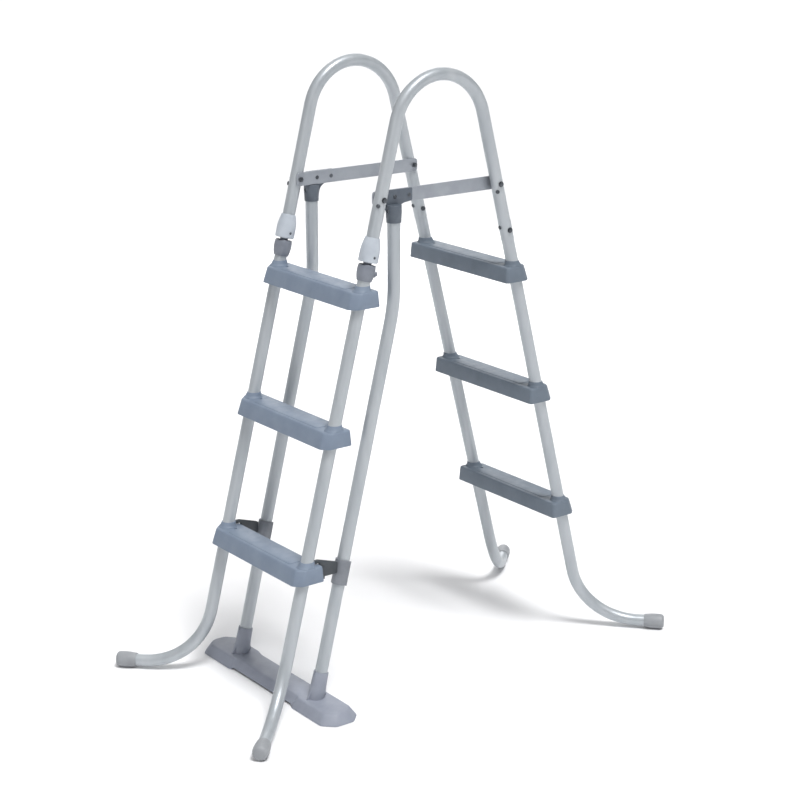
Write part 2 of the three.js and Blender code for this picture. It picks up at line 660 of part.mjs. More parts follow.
function addPiece(name, geometry, material) {
  const mesh = new THREE.Mesh(geometry, material);
  mesh.name = name;
  ladder.add(mesh);
}

const HALVES = { outer: OUTER, inner: INNER };

for (const [word, side] of Object.entries(SIDES)) {
  addPiece(`handrail_${word}`, handrail(side), TUBE_PAINT);
  addPiece(`top_bar_${word}`, topBar(side), BAR_PAINT);
  addPiece(`bar_bracket_${word}`, barBracket(side), BAR_PAINT);
  addPiece(`support_leg_${word}`, supportLeg(side), TUBE_PAINT);
  addPiece(`support_pin_${word}`, supportPin(side), FASTENER_STEEL);
  addPiece(`inner_leg_${word}`, innerLeg(side), TUBE_PAINT);
  addPiece(`outer_leg_${word}`, outerLeg(side), TUBE_PAINT);
  addPiece(`coupling_socket_${word}`, couplingSocket(side), SOCKET_PLASTIC);
  addPiece(`swing_pin_${word}`, swingPin(side), FASTENER_STEEL);
  addPiece(`coupling_plug_${word}`, couplingPlug(side), DARK_PLASTIC);
  addPiece(`latch_button_${word}`, latchButton(side), DARK_PLASTIC);
  addPiece(`leg_clip_${word}`, legClip(side), DARK_PLASTIC);
  for (const [place, half] of Object.entries(HALVES)) {
    const barBoltAt = onLeg(half, side, BAR_BOLT_HEIGHT);
    const screwAt = onLeg(half, side, BAR_SCREW_HEIGHT);
    addPiece(`${place}_foot_cap_${word}`, footCap(half, side), CAP_PLASTIC);
    addPiece(`bar_bolt_${place}_${word}`, crossBolt(barBoltAt, side, BAR_INNER_FACE), FASTENER_STEEL);
    addPiece(`bar_nut_${place}_${word}`, nut(barBoltAt, side, BAR_INNER_FACE), FASTENER_STEEL);
    addPiece(`bar_screw_${place}_${word}`, wallScrew(screwAt, barScrewFacing(half, side)), FASTENER_STEEL);
  }
  RIVET_X.forEach((x, i) => addPiece(`bracket_rivet_${i + 1}_${word}`, rivet(x, side), FASTENER_STEEL));
  const spliceAt = onLeg(INNER, side, SPLICE_BOLT_HEIGHT);
  const spliceFace = LEG_Y - TUBE_RADIUS;
  addPiece(`splice_bolt_${word}`, crossBolt(spliceAt, side, spliceFace), FASTENER_STEEL);
  addPiece(`splice_nut_${word}`, nut(spliceAt, side, spliceFace), FASTENER_STEEL);
  const spliceScrewAt = onLeg(INNER, side, SPLICE_SCREW_HEIGHT);
  addPiece(`splice_screw_${word}`, wallScrew(spliceScrewAt, spliceScrewFacing()), FASTENER_STEEL);
}

for (const [place, half] of Object.entries(HALVES)) {
  for (const [level, top] of Object.entries(STEP_TOPS)) {
    addPiece(`${place}_step_${level}`, step(half, top), STEP_PLASTIC);
  }
}

addPiece('base_plate', basePlate(), BASE_PLASTIC);

export default ladder;
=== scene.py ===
"""Pool ladder: the visible pieces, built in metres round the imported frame.

+Z is up, +X is the pool side, and right (-Y) and left (+Y) are a climber's who faces the pool.
"""

import json
import math

import bmesh
import bpy
from mathutils import Matrix, Vector


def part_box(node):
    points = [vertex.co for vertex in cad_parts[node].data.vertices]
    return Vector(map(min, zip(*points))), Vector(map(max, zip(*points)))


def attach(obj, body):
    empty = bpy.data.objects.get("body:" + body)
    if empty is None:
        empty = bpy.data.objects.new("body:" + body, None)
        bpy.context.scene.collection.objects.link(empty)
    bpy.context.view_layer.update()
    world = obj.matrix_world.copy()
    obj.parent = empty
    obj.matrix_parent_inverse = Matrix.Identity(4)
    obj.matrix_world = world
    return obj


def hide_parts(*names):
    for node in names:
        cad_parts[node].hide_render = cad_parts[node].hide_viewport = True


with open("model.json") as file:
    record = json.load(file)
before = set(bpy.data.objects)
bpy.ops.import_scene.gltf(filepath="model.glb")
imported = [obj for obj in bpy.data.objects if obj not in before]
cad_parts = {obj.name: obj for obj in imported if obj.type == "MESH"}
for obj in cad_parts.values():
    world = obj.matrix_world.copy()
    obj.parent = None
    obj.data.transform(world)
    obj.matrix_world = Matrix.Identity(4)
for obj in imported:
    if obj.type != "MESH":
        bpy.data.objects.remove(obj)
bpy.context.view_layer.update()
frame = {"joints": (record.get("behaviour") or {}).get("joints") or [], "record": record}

# ---------------------------------------------------------------- sizes that the frame gives

MM = 0.001
TUBE_RADIUS = 14 * MM
TUBE_WALL = 1.4 * MM
GAP = 0.3 * MM                     # between pieces that touch
OUTER, INNER = -1, 1               # along X
SIDES = {"right": -1, "left": 1}   # along Y
HALVES = {"outer": OUTER, "inner": INNER}
LEVELS = ("bottom", "middle", "top")

record = frame["record"]
owner = {node: body for body, nodes in record["behaviour"]["bodies"].items() for node in nodes}
joints = {joint["name"]: joint for joint in frame["joints"]}

pull = Vector(joints["steps_withdraw"]["axis"])
LEG_SLOPE = pull.x / pull.z
LEAN = math.atan(LEG_SLOPE)
hinge = Vector(joints["steps_swing"]["pos_m"])
SWING_LIMIT = math.radians(joints["steps_swing"]["range_deg"][1])


def box_centre(node):
    low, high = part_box(node)
    return (low + high) / 2


def in_mm(points):
    """An outline or profile that is written in millimetres, in metres."""
    return [(a * MM, b * MM) for a, b in points]


LEG_Y = box_centre("coupling_socket_left").y


def leg_x(half, z):
    return half * (-hinge.x + LEG_SLOPE * (hinge.z - z))


def on_leg(half, side, z):
    return Vector((leg_x(half, z), side * LEG_Y, z))


def up_leg(half):
    return Vector((-half * LEG_SLOPE, 0, 1)).normalized()


support_top = box_centre("support_pin_left")
support_low, support_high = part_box("support_leg_left")
SUPPORT_BEND_HEIGHT = 887 * MM
SUPPORT_BEND_RADIUS = 350 * MM
SUPPORT_END = {"rise": 3.4 * MM, "reach": 13.5 * MM}   # of the tube's square end, from its axis
SUPPORT_FOOT = support_low.z + SUPPORT_END["rise"]
SUPPORT_SLOPE = ((support_top.x - support_low.x - SUPPORT_END["reach"])
                 / (SUPPORT_BEND_HEIGHT - SUPPORT_FOOT))
UP_SUPPORT = Vector((SUPPORT_SLOPE, 0, 1)).normalized()


def on_support(side, z):
    x = support_top.x - SUPPORT_SLOPE * max(0, SUPPORT_BEND_HEIGHT - z)
    return Vector((x, side * support_top.y, z))


PIN_ABOVE_MOUTH = 12 * MM
MOUTH = on_leg(OUTER, 1, hinge.z) - up_leg(OUTER) * PIN_ABOVE_MOUTH   # of the left coupling's bell


def mouth(side):
    return Vector((MOUTH.x, side * LEG_Y, MOUTH.z))


def swing_axis(side):
    return mouth(side) + up_leg(OUTER) * PIN_ABOVE_MOUTH


# ---------------------------------------------------------------- meshes

class Shape:
    """Closed shells that make one piece."""

    def __init__(self):
        self.verts = []
        self.faces = []

    def add(self, shell):
        verts, faces = shell
        first = len(self.verts)
        self.verts += [tuple(v) for v in verts]
        self.faces += [[first + i for i in face] for face in faces]
        return self

    def mesh(self, name):
        mesh = bpy.data.meshes.new(name)
        mesh.from_pydata(self.verts, [], self.faces)
        work = bmesh.new()
        work.from_mesh(mesh)
        bmesh.ops.recalc_face_normals(work, faces=work.faces)
        work.to_mesh(mesh)
        work.free()
        return mesh


def rounded(points, radius, steps=3, closed=False):
    """The line through points with each corner eased over `radius`."""
    count = len(points)
    points = [Vector(p) for p in points]
    result = []
    for i, point in enumerate(points):
        if not closed and i in (0, count - 1):
            result.append(point)
            continue
        before, after = points[i - 1] - point, points[(i + 1) % count] - point
        reach = min(radius, 0.45 * before.length, 0.45 * after.length)
        start, end = point + before.normalized() * reach, point + after.normalized() * reach
        for k in range(steps + 1):
            t = k / steps
            result.append(start * (1 - t) ** 2 + point * (2 * t * (1 - t)) + end * t ** 2)
    return result


def inset(outline, distance):
    """A closed outline, listed anticlockwise, moved inwards."""
    count = len(outline)
    moved = []
    for i, point in enumerate(outline):
        before = (point - outline[i - 1]).normalized()
        after = (outline[(i + 1) % count] - point).normalized()
        along = (before + after).normalized()
        normal = Vector((-along.y, along.x))
        moved.append(point + normal * (distance / max(0.5, normal.dot(Vector((-before.y, before.x))))))
    return moved


def loft(rings):
    """A closed shell through rings of equal length, with a face over each end."""
    count = len(rings[0])
    verts = [v for ring in rings for v in ring]
    faces = [list(range(count))]
    for k in range(len(rings) - 1):
        a, b = k * count, (k + 1) * count
        faces += [[a + i, a + (i + 1) % count, b + (i + 1) % count, b + i] for i in range(count)]
    faces.append(list(range(len(verts) - count, len(verts))))
    return verts, faces


def turn_to(direction, origin):
    """The place whose Z runs along `direction`."""
    turn = Vector((0, 0, 1)).rotation_difference(Vector(direction).normalized())
    return Matrix.Translation(origin) @ turn.to_matrix().to_4x4()


def turned(profile, origin, direction, easing=0.0, ring=False, segments=40):
    """A shell turned about `direction` from (radius, height) points.

    With ring, the profile closes on itself and leaves a hole in the middle.
    """
    if easing:
        profile = rounded(profile, easing, closed=ring)
    place = turn_to(direction, origin)
    verts = []
    for radius, height in profile:
        for i in range(segments):
            angle = 2 * math.pi * i / segments
            verts.append(place @ Vector((radius * math.cos(angle), radius * math.sin(angle), height)))
    faces = []
    spans = len(profile) if ring else len(profile) - 1
    for k in range(spans):
        a, b = k * segments, ((k + 1) % len(profile)) * segments
        for i in range(segments):
            j = (i + 1) % segments
            faces.append([a + i, a + j, b + j, b + i])
    if not ring:
        faces += [list(range(segments)), list(range(len(verts) - segments, len(verts)))]
    return verts, faces


def rod(start, end, radius, easing=0.4 * MM, segments=24):
    """A round bar with eased ends."""
    length = (end - start).length
    tip = min(0.2 * MM, radius / 8)
    profile = [(tip, 0), (radius, 0), (radius, length), (tip, length)]
    return turned(profile, start, end - start, easing, segments=segments)


def plate(outline, thickness, edge, place):
    """An outline in the X and Y of `place`, thickened along its Z, with its edges rounded by `edge`."""
    outline = [Vector(p) for p in outline]
    area = sum(a.x * b.y - b.x * a.y for a, b in zip(outline, outline[1:] + outline[:1]))
    if area < 0:
        outline.reverse()
    rings = []
    for k in range(4):
        angle = math.pi / 2 * k / 3
        rings.append((edge * (1 - math.sin(angle)), edge * (1 - math.cos(angle))))
    rings += [(pull_in, thickness - height) for pull_in, height in reversed(rings)]
    return loft([[place @ Vector((*p, height)) for p in inset(outline, pull_in)]
                 for pull_in, height in rings])


def upright(side, y):
    """The place of a plate with its outline in X and Z, thickened away from the ladder's middle."""
    return Matrix(((1, 0, 0, 0), (0, 0, side, y), (0, 1, 0, 0), (0, 0, 0, 1)))


def swept(path, radii, wall, segments=40):
    """A tube along a path. `radii` is one radius, or one for each point of the path."""
    if not isinstance(radii, list):
        radii = [radii] * len(path)
    tangents = []
    for i in range(len(path)):
        tangents.append((path[min(i + 1, len(path) - 1)] - path[max(i - 1, 0)]).normalized())
    normal = tangents[0].orthogonal().normalized()
    outside, inside = [], []
    for i, (point, tangent) in enumerate(zip(path, tangents)):
        if i:
            normal.rotate(tangents[i - 1].rotation_difference(tangent))
        other = tangent.cross(normal)
        for rings, radius in ((outside, radii[i]), (inside, radii[i] - wall)):
            angles = [2 * math.pi * k / segments for k in range(segments)]
            rings.append([point + normal * (radius * math.cos(a)) + other * (radius * math.sin(a))
                          for a in angles])
    rings = outside + inside[::-1]
    verts = [v for ring in rings for v in ring]
    faces = []
    for r in range(len(rings)):
        a, b = r * segments, ((r + 1) % len(rings)) * segments
        faces += [[a + k, a + (k + 1) % segments, b + (k + 1) % segments, b + k] for k in range(segments)]
    return verts, faces


def bent(start, corner, end, radius, steps):
    """Points of a line through three corners whose middle one is an arc."""
    into, away = (corner - start).normalized(), (end - corner).normalized()
    turn = into.angle(away)
    inwards = (away - into * away.dot(into)).normalized()
    arc_start = corner - into * radius * math.tan(turn / 2)
    points = [start]
    for i in range(steps + 1):
        angle = turn * i / steps
        points.append(arc_start + into * radius * math.sin(angle) + inwards * radius * (1 - math.cos(angle)))
    points.append(end)
    return points


# ---------------------------------------------------------------- finishes

def linear(*rgb):
    return [((c / 255 + 0.055) / 1.055) ** 2.4 for c in rgb] + [1]


BUMP_STRENGTH = 0.35


def finish_material(name, light, dark, patch, rough, grain, metal=0.0, stretch=(1, 1, 1)):
    """Two tones in soft patches, a roughness that varies, and a fine grain.

    `patch` is the patches' scale per metre, `rough` the least and most roughness, and `grain` the
    bumps' scale per metre and their depth.
    """
    material = bpy.data.materials.new(name)
    material.use_nodes = True
    nodes, links = material.node_tree.nodes, material.node_tree.links
    shader = nodes["Principled BSDF"]
    place = nodes.new("ShaderNodeTexCoord")
    scale = nodes.new("ShaderNodeMapping")
    scale.inputs["Scale"].default_value = stretch
    links.new(place.outputs["Object"], scale.inputs["Vector"])

    def noise(size, detail):
        node = nodes.new("ShaderNodeTexNoise")
        node.inputs["Scale"].default_value = size
        node.inputs["Detail"].default_value = detail
        links.new(scale.outputs["Vector"], node.inputs["Vector"])
        return node

    tones = nodes.new("ShaderNodeValToRGB")
    tones.color_ramp.elements[0].position = 0.34
    tones.color_ramp.elements[0].color = linear(*dark)
    tones.color_ramp.elements[1].position = 0.66
    tones.color_ramp.elements[1].color = linear(*light)
    links.new(noise(patch, 5).outputs["Fac"], tones.inputs["Fac"])
    links.new(tones.outputs["Color"], shader.inputs["Base Color"])

    sheen = nodes.new("ShaderNodeMapRange")
    sheen.inputs["From Min"].default_value = 0.3
    sheen.inputs["From Max"].default_value = 0.7
    sheen.inputs["To Min"].default_value = rough[0]
    sheen.inputs["To Max"].default_value = rough[1]
    links.new(noise(patch * 3, 4).outputs["Fac"], sheen.inputs["Value"])
    links.new(sheen.outputs["Result"], shader.inputs["Roughness"])

    size, depth = grain
    bump = nodes.new("ShaderNodeBump")
    bump.inputs["Strength"].default_value = BUMP_STRENGTH
    bump.inputs["Distance"].default_value = depth
    links.new(noise(size, 2).outputs["Fac"], bump.inputs["Height"])
    links.new(bump.outputs["Normal"], shader.inputs["Normal"])
    shader.inputs["Metallic"].default_value = metal
    return material


tube_paint = finish_material(
    "tube_paint", (184, 189, 193), (172, 178, 183), 9, (0.32, 0.46), (900, 0.05 * MM), 0.35, (3, 3, 0.5))
bar_paint = finish_material(
    "bar_paint", (162, 167, 174), (150, 155, 163), 25, (0.38, 0.52), (1100, 0.05 * MM), 0.3)
bracket_plastic = finish_material(
    "bracket_plastic", (95, 103, 113), (82, 90, 100), 30, (0.42, 0.56), (1300, 0.06 * MM))
step_plastic = finish_material(
    "step_plastic", (125, 138, 155), (117, 130, 148), 22, (0.5, 0.64), (1500, 0.12 * MM))
# The inner steps' plastic is step_plastic darkened as painted shade, for their faces that lie in shade.
inner_step_painted_shade = finish_material(
    "inner_step_painted_shade", (109, 120, 132), (101, 112, 124), 22, (0.5, 0.64), (1500, 0.12 * MM))
base_plastic = finish_material(
    "base_plastic", (149, 154, 166), (139, 144, 157), 22, (0.48, 0.62), (1400, 0.12 * MM))
bell_plastic = finish_material(
    "bell_plastic", (190, 197, 205), (176, 183, 192), 30, (0.3, 0.45), (1300, 0.06 * MM))
plug_plastic = finish_material(
    "plug_plastic", (130, 135, 145), (117, 122, 132), 35, (0.32, 0.5), (1300, 0.06 * MM))
# The clip's arm and pad use a darker copy of the clip's plastic: painted shade where the step's shadow falls
# on them. The sleeve below keeps the plastic's own tone.
clip_plastic = finish_material(
    "clip_plastic", (68, 73, 78), (58, 63, 68), 30, (0.42, 0.58), (1300, 0.08 * MM))
sleeve_plastic = finish_material(
    "sleeve_plastic", (132, 136, 143), (114, 118, 125), 30, (0.3, 0.45), (1300, 0.08 * MM))
cap_plastic = finish_material(
    "cap_plastic", (153, 156, 160), (143, 146, 150), 30, (0.42, 0.58), (1300, 0.08 * MM))
steel = finish_material(
    "fastener_steel", (104, 108, 113), (80, 84, 89), 90, (0.3, 0.5), (2500, 0.03 * MM), 0.8)


SHARP_ANGLE = math.radians(32)


def shade(obj):
    obj.data.shade_smooth()
    obj.data.set_sharp_from_angle(angle=SHARP_ANGLE)


def cut(obj, cutters):
    """Takes the cutters' volumes out of obj, and the cutters out of the scene."""
    for cutter in cutters:
        taking = obj.modifiers.new("cut", "BOOLEAN")
        taking.operation = "DIFFERENCE"
        taking.solver = "EXACT"
        taking.object = cutter
    bpy.context.view_layer.update()
    result = bpy.data.meshes.new_from_object(obj.evaluated_get(bpy.context.evaluated_depsgraph_get()))
    obj.modifiers.clear()
    obj.data = result
    for cutter in cutters:
        bpy.data.objects.remove(cutter)


def loose(name, *shells):
    """An object of closed shells that isn't a piece yet."""
    shape = Shape()
    for shell in shells:
        shape.add(shell)
    obj = bpy.data.objects.new(name, shape.mesh(name))
    bpy.context.scene.collection.objects.link(obj)
    return obj


def piece(node, material, shells, cut_shells=(), also=(), also_material=None):
    """The visible piece for a CAD node: its shells, less what is cut, and then shells that aren't cut."""
    obj = loose(node + "_skin", *shells)
    if cut_shells:
        cut(obj, [loose("cutter", shell) for shell in cut_shells])
    for finish in filter(None, (material, also_material)):
        obj.data.materials.append(finish)
    if also:
        extra = loose("extra", *also)
        work = bmesh.new()
        work.from_mesh(obj.data)
        first = len(work.faces)
        work.from_mesh(extra.data)
        work.faces.ensure_lookup_table()
        for face in work.faces[first:]:
            face.material_index = 1 if also_material else 0
        work.to_mesh(obj.data)
        work.free()
        bpy.data.objects.remove(extra)
    shade(obj)
    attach(obj, owner[node])
    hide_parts(node)
    return obj


# ---------------------------------------------------------------- tubes

RAIL_ABOVE_MOUTH = 31.6 * MM       # the handrail's outer end, inside the bell
LEG_BELOW_MOUTH = 14.3 * MM        # the outer leg's top, inside the barrel
FOOT_BEND_RADIUS = 160 * MM
SPLICE_SWELL = {"length": 42 * MM, "ease": 5 * MM, "radius": 14.6 * MM, "lip": 0.6 * MM, "chamfer": 0.4 * MM}
SPLICE_NECK = {"below": 10 * MM, "above": 58 * MM, "radius": 12.2 * MM}


def handrail(word, side):
    node = f"handrail_{word}"
    low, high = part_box(node)
    corner_z = hinge.z - hinge.x / LEG_SLOPE
    arch_radius = (corner_z + TUBE_RADIUS - high.z) / (1 / math.sin(LEAN) - 1)
    start = mouth(side) + up_leg(OUTER) * RAIL_ABOVE_MOUTH
    corner = Vector((0, side * LEG_Y, corner_z))
    end = on_leg(INNER, side, low.z + TUBE_RADIUS * math.sin(LEAN))
    path = bent(start, corner, end, arch_radius, 48)
    radii = [TUBE_RADIUS] * len(path)
    last = path.pop()
    up, swell = up_leg(INNER), SPLICE_SWELL
    path += [last + up * (swell["length"] + swell["ease"]), last + up * swell["length"],
             last + up * swell["lip"], last]
    radii[-1:] = [TUBE_RADIUS, swell["radius"], swell["radius"], swell["radius"] - swell["chamfer"]]
    piece(node, tube_paint, [swept(path, radii, TUBE_WALL)])


CAP = {"length": 48 * MM, "bore": 43 * MM, "radius": 18 * MM, "nose": 11 * MM}
CAP_PROFILE = [(0.3, 43), (14.2, 43), (14.2, 0), (15.6, 0), (16.2, 3), (17.4, 14), (18, 24), (18, 37),
               (16.8, 43.5), (13.5, 47), (8, 48), (0.3, 48)]   # (radius, height above its rim)


def foot_axis(half_word, word):
    """(corner where leg and foot would meet, unit direction of the foot, the cap's tip)."""
    half, side = HALVES[half_word], SIDES[word]
    centre = box_centre(f"{half_word}_foot_cap_{word}")
    corner = on_leg(half, side, centre.z)
    direction = (centre - corner).normalized()
    lean_out = (CAP["radius"] - CAP["nose"]) / 2
    shift = Vector((half * abs(direction.y), side * abs(direction.x), 0)) * lean_out
    middle = centre + shift
    direction = (middle - corner).normalized()
    return corner, direction, middle + direction * CAP["length"] / 2


def leg_path(half_word, word, top):
    corner, direction, tip = foot_axis(half_word, word)
    end = tip - direction * (CAP["length"] - CAP["bore"] + GAP)
    return bent(top, corner, end, FOOT_BEND_RADIUS, 24)


def outer_leg(word, side):
    top = mouth(side) - up_leg(OUTER) * LEG_BELOW_MOUTH
    piece(f"outer_leg_{word}", tube_paint,
          [swept(leg_path("outer", word, top), TUBE_RADIUS, TUBE_WALL)])


def inner_leg(word, side):
    rail_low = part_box(f"handrail_{word}")[0].z + TUBE_RADIUS * math.sin(LEAN)
    top = on_leg(INNER, side, rail_low - GAP)
    up = up_leg(INNER)
    neck = rod(top - up * SPLICE_NECK["below"], top + up * SPLICE_NECK["above"], SPLICE_NECK["radius"],
               segments=40)
    piece(f"inner_leg_{word}", tube_paint,
          [swept(leg_path("inner", word, top), TUBE_RADIUS, TUBE_WALL), neck])


def support_leg(word, side):
    heights = (support_high.z, SUPPORT_BEND_HEIGHT, SUPPORT_FOOT)
    path = bent(*[on_support(side, z) for z in heights], SUPPORT_BEND_RADIUS, 20)
    piece(f"support_leg_{word}", tube_paint, [swept(path, TUBE_RADIUS, TUBE_WALL)])


def foot_cap(half_word, word):
    _, direction, tip = foot_axis(half_word, word)
    piece(f"{half_word}_foot_cap_{word}", cap_plastic,
          [turned(in_mm(CAP_PROFILE), tip - direction * CAP["length"], direction, 2.5 * MM)])


# ---------------------------------------------------------------- bars and brackets

BAR_CORNER = 8 * MM
BAR_EDGE = 0.9 * MM
FLANGE = {"thickness": 5 * MM, "edge": 1.1 * MM, "corner": 4 * MM, "sweep": 22 * MM}
SOCKET = {"top": 1104 * MM, "bottom": 1066 * MM, "taper": 22 * MM, "radius": 17.2 * MM, "rim": 15.9 * MM,
          "bore": TUBE_RADIUS + 0.25 * MM, "roof": 3 * MM}
SUPPORT_PIN = {"radius": 3.7 * MM, "hole": 4.1 * MM, "half_length": 11 * MM}


def top_bar(word, side):
    node = f"top_bar_{word}"
    low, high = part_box(node)
    corners = [(low.x, low.z), (high.x, low.z), (high.x, high.z), (low.x, high.z)]
    near = min(abs(low.y), abs(high.y))
    bar = plate(rounded(corners, BAR_CORNER, 6, True), high.y - low.y, BAR_EDGE, upright(side, side * near))
    piece(node, bar_paint, [bar])


def support_pin_centre(side):
    return Vector((support_top.x, side * support_top.y, support_top.z))


def bar_bracket(word, side):
    """A flange on the bar's inner face, swept down into the socket that holds the support leg."""
    node = f"bar_bracket_{word}"
    low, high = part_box(node)
    bar_low, bar_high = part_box(f"top_bar_{word}")
    pin_at = support_pin_centre(side)
    x, foot, sweep = pin_at.x, bar_low.z, FLANGE["sweep"]
    outline = [(low.x, bar_high.z), (low.x, foot + 1 * MM), (x - 13 * MM, foot - sweep)]
    for i in range(9):
        angle = math.pi / 2 * i / 8
        outline.append((x + 15 * MM + sweep * (1 - math.cos(angle)), foot - sweep * (1 - math.sin(angle))))
    outline += [(high.x, foot + 2 * MM), (high.x, bar_high.z)]
    near = max(abs(bar_low.y), abs(bar_high.y)) + GAP
    flange = plate(rounded(outline, FLANGE["corner"], 3, True), FLANGE["thickness"], FLANGE["edge"],
                   upright(side, side * near))

    tall, bore, centre = SOCKET["top"] - SOCKET["bottom"], SOCKET["bore"], 0.3 * MM
    profile = [(bore, 0), (SOCKET["rim"], 0), (SOCKET["radius"], SOCKET["taper"]), (SOCKET["radius"], tall),
               (centre, tall), (centre, tall - SOCKET["roof"]), (bore, tall - SOCKET["roof"])]
    socket = turned(profile, Vector((x, pin_at.y, SOCKET["bottom"])), (0, 0, 1), 1.5 * MM, ring=True)
    reach = Vector((30 * MM, 0, 0))
    hole = rod(pin_at - reach, pin_at + reach, SUPPORT_PIN["hole"], 0)
    piece(node, bracket_plastic, [socket], [hole], [flange])


def support_pin(word, side):
    at = support_pin_centre(side)
    reach = Vector((SUPPORT_PIN["half_length"], 0, 0))
    pin = rod(at - reach, at + reach, SUPPORT_PIN["radius"])
    piece(f"support_pin_{word}", steel, [pin])


# ---------------------------------------------------------------- fasteners

RIVET = {"head": 4.5 * MM, "rise": 1.8 * MM, "shank": 2.5 * MM}
BOLT = {"corner": 5.6 * MM, "height": 4 * MM, "shank": 2.9 * MM, "edge": 0.8 * MM}   # corner: from its axis
WASHER = {"radius": 6.4 * MM, "thickness": 1 * MM, "under_head": 0.6 * MM}
NUT = {"corner": 5.8 * MM, "bore": 3.2 * MM, "edge": 0.8 * MM}
SCREW = {"head": 4.6 * MM, "rise": 2.6 * MM, "shank": 2 * MM, "stand_off": 0.6 * MM}
CROSS_SLOT = {"length": 5.4 * MM, "width": 1.0 * MM, "depth": 1 * MM}


def rivet(node, side):
    low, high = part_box(node)
    centre = (low + high) / 2
    inside, outside = sorted((abs(low.y), abs(high.y)))
    rise, head, shank = RIVET["rise"], RIVET["head"], RIVET["shank"]
    long = outside - inside
    dome = [(head * math.cos(a), rise * (1 - math.sin(a))) for a in (1.5, 1.2, 0.9, 0.6, 0.3, 0)]
    profile = dome + [(shank, rise), (shank, long - rise)]
    profile += [(radius, long - height) for radius, height in reversed(dome)]
    start = Vector((centre.x, side * inside, centre.z))
    piece(node, steel, [turned(profile, start, (0, side, 0), segments=28)])


def hexagon(radius):
    return [(radius * math.cos(math.pi / 3 * i), radius * math.sin(math.pi / 3 * i)) for i in range(6)]


def cross_bolt(node, side):
    """A hexagon bolt along Y with a washer, its head away from the ladder's middle."""
    low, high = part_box(node)
    centre = (low + high) / 2
    tail, crown = sorted((abs(low.y), abs(high.y)))
    seat = crown - BOLT["height"]

    def at(y):
        return Vector((centre.x, side * y, centre.z))

    head = plate(hexagon(BOLT["corner"]), BOLT["height"] - WASHER["under_head"], BOLT["edge"],
                 turn_to((0, side, 0), at(seat + WASHER["under_head"])))
    washer = rod(at(seat), at(seat + WASHER["thickness"]), WASHER["radius"])
    shank = rod(at(tail), at(seat), BOLT["shank"])
    piece(node, steel, [shank], also=[head, washer])


def hex_nut(node, side):
    low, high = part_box(node)
    centre = (low + high) / 2
    back = min(abs(low.y), abs(high.y))
    start = Vector((centre.x, side * back, centre.z))
    body = plate(hexagon(NUT["corner"]), high.y - low.y, NUT["edge"], turn_to((0, side, 0), start))
    reach = Vector((0, 10 * MM, 0))
    piece(node, steel, [body], [rod(start - reach, start + reach, NUT["bore"], 0)])


def wall_screw(node, half, side, facing):
    """A domed screw with a cross slot, in the tube's wall towards `facing`."""
    centre = box_centre(node)
    point, up = on_leg(half, side, centre.z), up_leg(half)
    at = point + up * (centre - point).dot(up)
    facing = (facing - up * facing.dot(up)).normalized()
    seat = at + facing * (TUBE_RADIUS + SCREW["stand_off"])
    head, rise, shank, tip = SCREW["head"], SCREW["rise"], SCREW["shank"], 0.2 * MM
    profile = [(tip, -9 * MM), (shank, -8 * MM), (shank, 0), (head, 0), (head, rise * 0.35),
               (head * 0.86, rise * 0.75), (head * 0.55, rise), (tip, rise)]
    place = turn_to(facing, seat + facing * (rise - CROSS_SLOT["depth"]))
    a, b = CROSS_SLOT["length"] / 2, CROSS_SLOT["width"] / 2
    slots = [plate([(-u, -v), (u, -v), (u, v), (-u, v)], 3 * MM, 0.05 * MM, place)
             for u, v in ((a, b), (b, a))]
    piece(node, steel, [turned(profile, seat, facing, 0.3 * MM, segments=28)], slots)


# ---------------------------------------------------------------- steps

# In this section sizes are millimetres, and `half` in a ring turns its front to the side it is
# climbed from.

STEP = {"height": 36, "wall": 3, "sleeve_drop": 0.2}   # the sleeves inside end this far below the shell
FRONT = {"top": 29, "foot": 41, "corner": 16}   # from the leg's axis to the face it is climbed by
REAR = {"top": 31.5, "foot": 34, "corner": 4}
END = {"top": 179, "foot": 181}                 # from the middle of the ladder
TREAD = {"rise": 0.8, "depth": 44, "length": 250, "corner": 6}
TREAD_RINGS = ((2, 0), (0.4, 0), (0, 0.5))      # (below the top, inside its outline)
COLLAR = ((-3, 20.4), (0, 20.4), (0.7, 19.4), (2.0, 18.2), (4.5, 17.0), (8, 16.1), (10.4, 15.3),
          (11, 14.1))                           # (above the top, radius)
COLLAR_END = 177.8                              # its foot stops here, level with the end of the step
SLEEVE = ((14.2, -33), (16.9, -33), (17.4, -5), (14.2, -5))   # (radius, height) of the one under it
POCKET = {"x": 4, "from_leg": 26, "depth": 3, "radius": 3.8}  # beside each collar
STEP_HEIGHT = (STEP["height"] + STEP["sleeve_drop"]) * MM     # from a node's lowest point to its top


def step_top(half_word, level):
    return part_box(f"{half_word}_step_{level}")[0].z + STEP_HEIGHT


def reach_at(face, below):
    return face["top"] + (face["foot"] - face["top"]) * below / STEP["height"]


def step_ring(half, top, below, shrink):
    """A step's outline `below` its top, `shrink` inside its faces: wide corners in front, narrow behind."""
    front, rear = reach_at(FRONT, below) - shrink, reach_at(REAR, below) - shrink
    end = reach_at(END, below) - shrink
    wide, narrow = FRONT["corner"], REAR["corner"]
    outline = [
        (front, wide - end), (front, end - wide), (front - wide, end), (narrow - rear, end),
        (-rear, end - narrow), (-rear, narrow - end), (narrow - rear, -end), (front - wide, -end),
    ]
    ring = []
    for p in rounded(outline, 5, 4, True):
        ring.append(Vector((leg_x(half, top) + half * p.x * MM, p.y * MM, top - below * MM)))
    return ring


def tread_ring(half, top, below, shrink):
    a, b = TREAD["depth"] / 2 - shrink, TREAD["length"] / 2 - shrink
    corners = rounded([(a, -b), (a, b), (-a, b), (-a, -b)], TREAD["corner"], 5, True)
    return [Vector((leg_x(half, top) + p.x * MM, p.y * MM, top - below * MM)) for p in corners]


